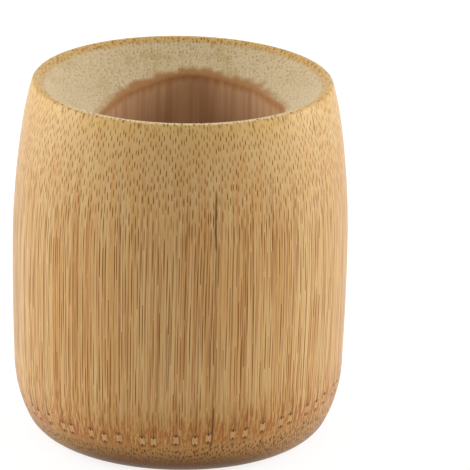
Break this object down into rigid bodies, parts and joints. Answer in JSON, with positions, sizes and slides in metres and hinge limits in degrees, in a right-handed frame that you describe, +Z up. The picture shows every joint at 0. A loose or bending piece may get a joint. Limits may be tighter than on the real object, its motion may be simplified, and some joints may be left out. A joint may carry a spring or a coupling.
{
  "type": "bamboo cup",
  "caption": "Small barrel-shaped cup turned from natural bamboo, with a rounded lip, a flared mouth over the natural hollow, and the culm's node as its floor.",
  "frame": {"origin": "middle of the foot, on the surface that the cup stands on", "axes": "+Z up along the turning axis, towards the mouth; -Y faces the pictured side; +X to the right of it"},
  "size_m": [0.06, 0.06, 0.065],
  "materials": {
    "bamboo_wood": "turned and sanded bamboo under a thin satin lacquer",
    "pith_skin": "natural brown pith skin with fine upright ridges, matt",
    "node_wood": "natural woody plate of the node, matt",
    "strand_ends": "turned and sanded strand ends under a thin satin lacquer"
  },
  "bodies": {
    "root": {"culm_wall": "bamboo_wood", "pith_lining": "pith_skin", "node_diaphragm": "node_wood", "node_traces": "strand_ends", "recess_lining": "pith_skin"}
  },
  "joints": []
}
